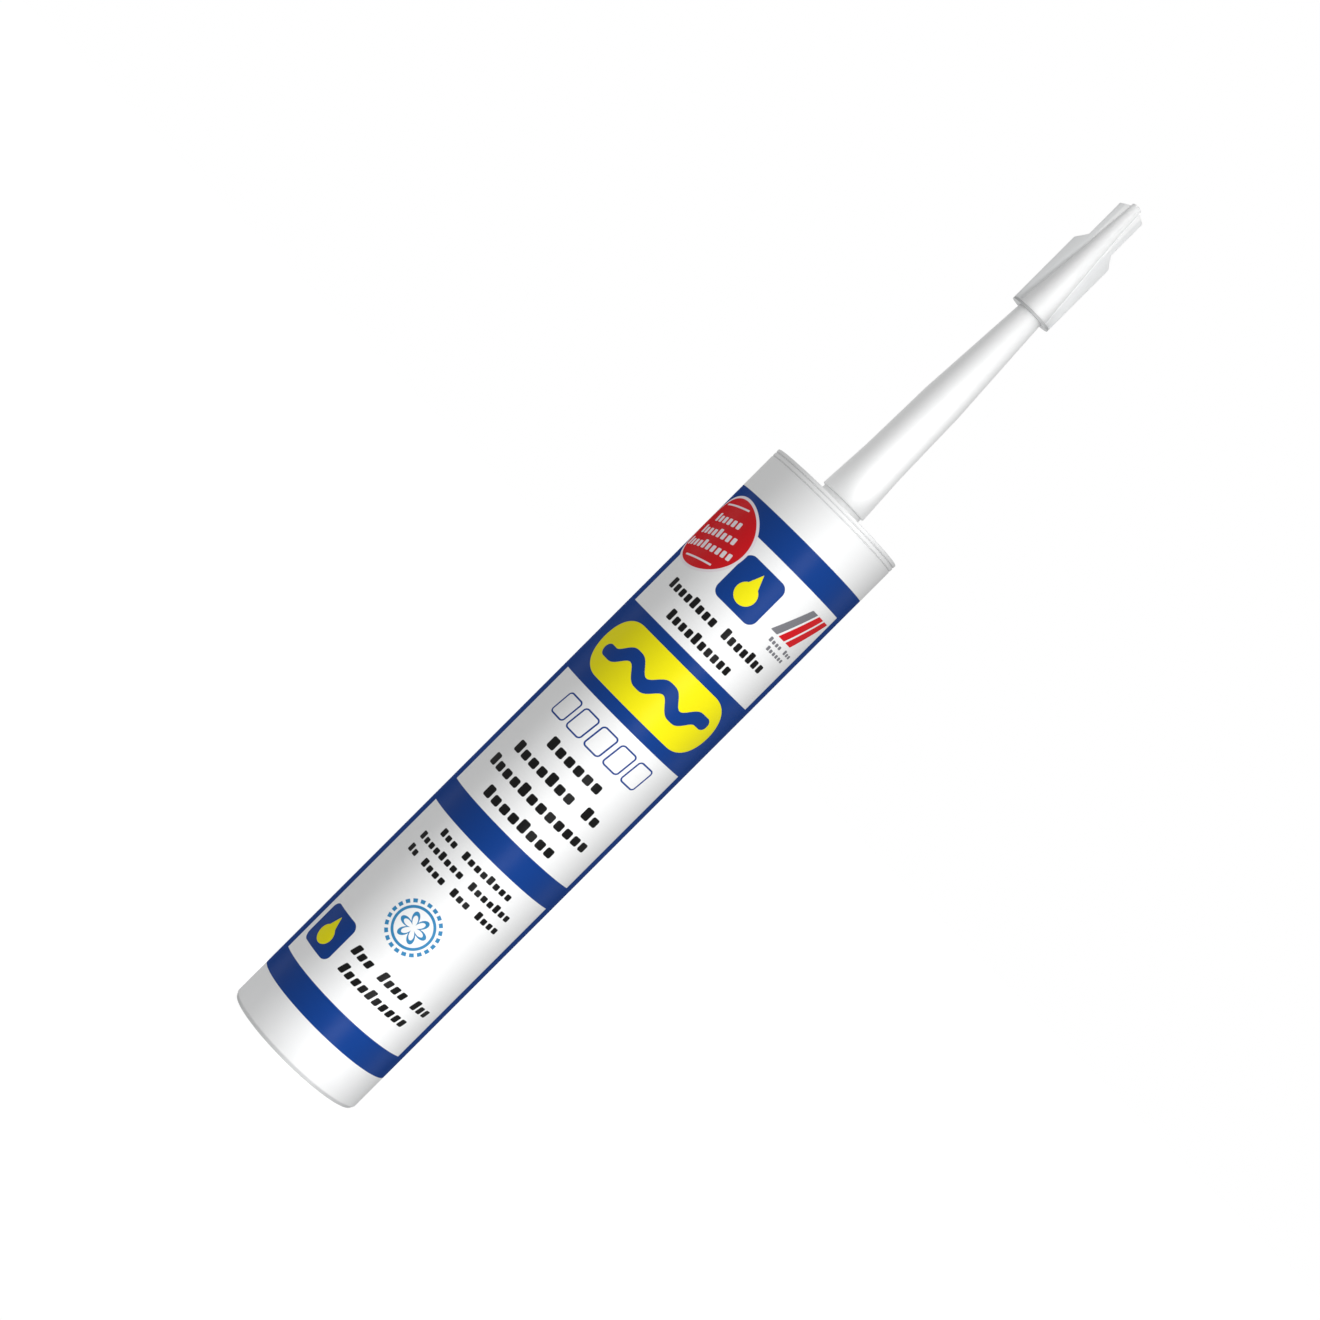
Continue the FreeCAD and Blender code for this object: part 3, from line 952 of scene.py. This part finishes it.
# Sealant
fill = dict(neckRadius=4.15, gap=0.05, rounding=0.3)
neckFoot = shoulder - barrel["shoulderThick"] - fill["gap"]
corners = [
    (0.0, fillBase, 0),
    (fillRadius, fillBase, fill["rounding"]),
    (fillRadius, neckFoot, fill["rounding"]),
    (fill["neckRadius"], neckFoot, fill["rounding"]),
    (fill["neckRadius"], fillTop, fill["rounding"]),
    (0.0, fillTop, 0),
]
mesh = turnedMesh("sealantPaste", corners, sealantPaste)
paste = addPiece("sealantPaste", mesh, "barrel", "sealant", "sealant_fill")
# How much of it would be left with the piston fully up is worked out but not used, and it gets a
# mesh of its own
travel = next(joint for joint in frame["joints"] if joint["name"] == "piston_slide")["range_m"][1]
fixedEnd = neckFoot * mm
left = fixedEnd - (fillBase * mm + travel)
left / (fixedEnd - fillBase * mm)
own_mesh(paste)

# Nozzle
inside = nozzle["shankRadius"] - nozzle["wall"]
corners = [
    (nozzle["socket"], seatHeight, 0.15),
    (nozzle["baseRadius"], seatHeight, 0.4),
    (nozzle["skirtRadius"], seatHeight + nozzle["skirtHeight"], nozzle["skirtRound"]),
    (nozzle["shankRadius"], seatHeight + nozzle["shankHeight"], nozzle["shankRound"]),
    (nozzle["taperRadius"], nozzleTip - nozzle["tipLength"], nozzle["taperRound"]),
    (nozzle["tipRadius"], nozzleTip, 0.3),
    (nozzle["tipBore"], nozzleTip, 0.1),
    (inside, seatHeight + nozzle["shankHeight"], 0),
    (inside, seatHeight + nozzle["socketDepth"], 0),
    (nozzle["socket"], seatHeight + nozzle["socketDepth"], 0),
    (nozzle["socket"], seatHeight, 0),
]
mesh = turnedMesh("nozzleBody", corners, nozzlePlastic, segments=96)
addPiece("nozzleBody", mesh, "nozzle", "nozzle_plastic", "nozzle")

# Cap
corners = [
    (mouth, capRim, 0),
    (mouth + cap["wall"], capRim, 0.15),
    (stepRadius + cap["wall"], stepHeight, cap["coneRound"]),
    (cap["topRadius"], capTop, cap["topRound"]),
    (0.0, capTop, 0),
    (0.0, capTop - cap["endWall"], 0),
    (cap["hollow"], capTop - cap["endWall"], 0),
    (cap["hollow"], stepHeight, 0),
    (stepRadius, stepHeight, 0),
    (stepRadius, nozzleTip, 0),
    (mouth, capRim, 0),
]
cone = turnedMesh("capCone", corners, capPlastic, segments=96)
wings = []
for side in (-1, 1):
    outline = [
        (mouth + cap["wall"] / 2, capRim),
        (cap["wingSpan"], capRim),
        (cap["wingSpan"], capRim + cap["wingHeight"]),
        (cap["upperSpan"], capRim + cap["wingHeight"] + cap["wingStep"]),
        (cap["upperSpan"], capRim + cap["upperHeight"]),
        ((cap["topRadius"] + cap["hollow"]) / 2, capRim + cap["upperHeight"] + cap["wingSlant"]),
        (stepRadius + cap["wall"] / 2, stepHeight),
    ]
    outline = [(side * x, z) for x, z in outline]
    wings.append(
        plateMesh(f"wing{side}", outline, cap["wingThick"], cap["wingRound"], capPlastic)
    )


def flangeMesh():
    # An oval ring at the cap's rim
    ring = bmesh.new()
    steps = cap["flangeSteps"]
    deep = mouth + cap["wall"] + cap["flangeLip"]
    hole = mouth + cap["wall"] / 2
    turns = [2 * math.pi * step / steps for step in range(steps)]
    loops = []
    for wide, long, up in (
        (hole, hole, 0.0),
        (cap["wingSpan"], deep, 0.0),
        (cap["wingSpan"], deep, cap["flangeThick"]),
        (hole, hole, cap["flangeThick"]),
    ):
        loops.append([
            ring.verts.new((wide * math.cos(t) * mm, long * math.sin(t) * mm, (capRim + up) * mm))
            for t in turns
        ])
    for here, above in zip(loops, loops[1:] + loops[:1]):
        for step in range(steps):
            after = (step + 1) % steps
            ring.faces.new((here[step], here[after], above[after], above[step]))
    bmesh.ops.recalc_face_normals(ring, faces=ring.faces)
    mesh = bpy.data.meshes.new("flange")
    ring.to_mesh(mesh)
    ring.free()
    mesh.materials.append(capPlastic)
    return mesh


capMesh = fuse(cone, flangeMesh(), *wings)
addPiece("capBody", capMesh, "nozzle_cap", "cap_plastic", "nozzle_cap")
print("pieces made")

# Floor, world, lights and camera
studio = dict(
    ambient=0.56, floorGlow=0.84, floorShare=0.38, floorGrey=0.85, floorSize=30.0,
    floorHole=24.6, holeBlur=0.1,
)
# Distance from the axis, heights and width in mm, turn in degrees from the front, power in watts
strips = dict(
    barrelStrip=dict(distance=60.0, turn=18.0, low=-60.0, high=262.0, width=16.0, power=0.05),
    footStrip=dict(distance=60.0, turn=18.0, low=1.0, high=31.0, width=16.0, power=0.0022),
    nozzleStrip=dict(distance=15.5, turn=18.0, low=240.0, high=322.0, width=4.0, power=0.0029),
    capStrip=dict(distance=14.0, turn=24.0, low=322.0, high=392.0, width=4.0, power=0.0025),
    liftStrip=dict(distance=16.0, turn=24.0, low=396.0, high=444.0, width=6.0, power=0.002),
    backStrip=dict(distance=90.0, turn=205.0, low=1.0, high=440.0, width=40.0, power=0.075),
)


def seenDirectly(base):
    # 1 for rays from the camera, or by way of a mirror or a clear body
    paths = base.node("ShaderNodeLightPath")
    seen = paths.other("Is Camera Ray").maths("MAXIMUM", paths.other("Is Glossy Ray"))
    return seen.maths("MAXIMUM", paths.other("Is Transmission Ray"))


world = bpy.data.worlds.new("studio")
bpy.context.scene.world = world
world.use_nodes = True
world.node_tree.nodes.clear()
sky = Wire(world.node_tree)
strength = seenDirectly(sky) * (1.0 - studio["ambient"]) + studio["ambient"]
light = sky.node("ShaderNodeBackground", sockets={"Color": (1, 1, 1, 1), "Strength": strength})
sky.node("ShaderNodeOutputWorld", sockets={"Surface": light})

floorMaterial = bpy.data.materials.new("paleFloor")
floorMaterial.use_nodes = True
floorMaterial.node_tree.nodes.clear()
ground = Wire(floorMaterial.node_tree)
grey = (studio["floorGrey"], studio["floorGrey"], studio["floorGrey"], 1.0)
matte = ground.node("ShaderNodeBsdfDiffuse", sockets={"Color": grey})
glow = ground.node("ShaderNodeEmission", sockets={"Strength": studio["floorGlow"]})
dark = ground.node("ShaderNodeEmission", sockets={"Strength": 0.0})


def mixed(share, first, second):
    return ground.node("ShaderNodeMixShader", sockets={0: share, 1: first, 2: second})


seen = ground.node(
    "ShaderNodeAddShader", sockets={0: glow, 1: mixed(studio["floorShare"], dark, matte)}
)
surface = mixed(seenDirectly(ground), matte, seen)
# The floor is clear from underneath and inside the tube's rim, so the open end can be seen
spot = ground.node("ShaderNodeTexCoord", output="Object")
reach = vector(spot, "LENGTH", output=1) / mm
openEnd = 1 - reach.rises(studio["floorHole"], studio["holeBlur"])
under = ground.node("ShaderNodeNewGeometry").other("Backfacing")
clear = ground.node("ShaderNodeBsdfTransparent")
surface = mixed(under.maths("MAXIMUM", openEnd), surface, clear)
ground.node("ShaderNodeOutputMaterial", sockets={"Surface": surface})
bpy.ops.mesh.primitive_plane_add(size=studio["floorSize"], location=(0.0, 0.0, 0.0))
floor = bpy.context.object
floor.name = "floor"
floor.data.materials.append(floorMaterial)


def addStrip(name, strip):
    # A tall narrow soft light beside the tube, unseen by the camera.
    # Only the lights in front show in the gloss.
    light = bpy.data.lights.new(name, "AREA")
    light.shape = "RECTANGLE"
    light.size = strip["width"] * mm
    light.size_y = (strip["high"] - strip["low"]) * mm
    light.energy = strip["power"]
    turn = math.radians(strip["turn"])
    lamp = bpy.data.objects.new(name, light)
    out = Vector((math.sin(turn), -math.cos(turn), 0.0))
    up = Vector((0.0, 0.0, 1.0))
    across = up.cross(out)
    middle = out * strip["distance"] * mm + up * (strip["high"] + strip["low"]) / 2 * mm
    axes = Matrix((across, up, out)).transposed().to_4x4()
    lamp.matrix_world = Matrix.Translation(middle) @ axes
    lamp.visible_camera = False
    lamp.visible_glossy = strip["turn"] < 90.0
    bpy.context.scene.collection.objects.link(lamp)


for name, strip in strips.items():
    addStrip(name, strip)

view = dict(
    place=(0.0, -1.0, 0.1784), target=(-0.0053, 0.0, 0.1627), rollDegrees=45.0, lens=89.88,
    sensor=36.0, nearest=0.01,
)
cameraData = bpy.data.cameras.new("camera")
cameraData.lens = view["lens"]
cameraData.sensor_width = view["sensor"]
cameraData.clip_start = view["nearest"]
camera = bpy.data.objects.new("camera", cameraData)
back = (Vector(view["place"]) - Vector(view["target"])).normalized()
roll = math.radians(view["rollDegrees"])
up = Vector((-math.sin(roll), 0.0, math.cos(roll)))
right = up.cross(back).normalized()
axes = Matrix((right, back.cross(right), back)).transposed().to_4x4()
camera.matrix_world = Matrix.Translation(view["place"]) @ axes
bpy.context.scene.collection.objects.link(camera)
bpy.context.scene.camera = camera
bpy.context.scene.view_settings.view_transform = "Standard"
print("studio made")
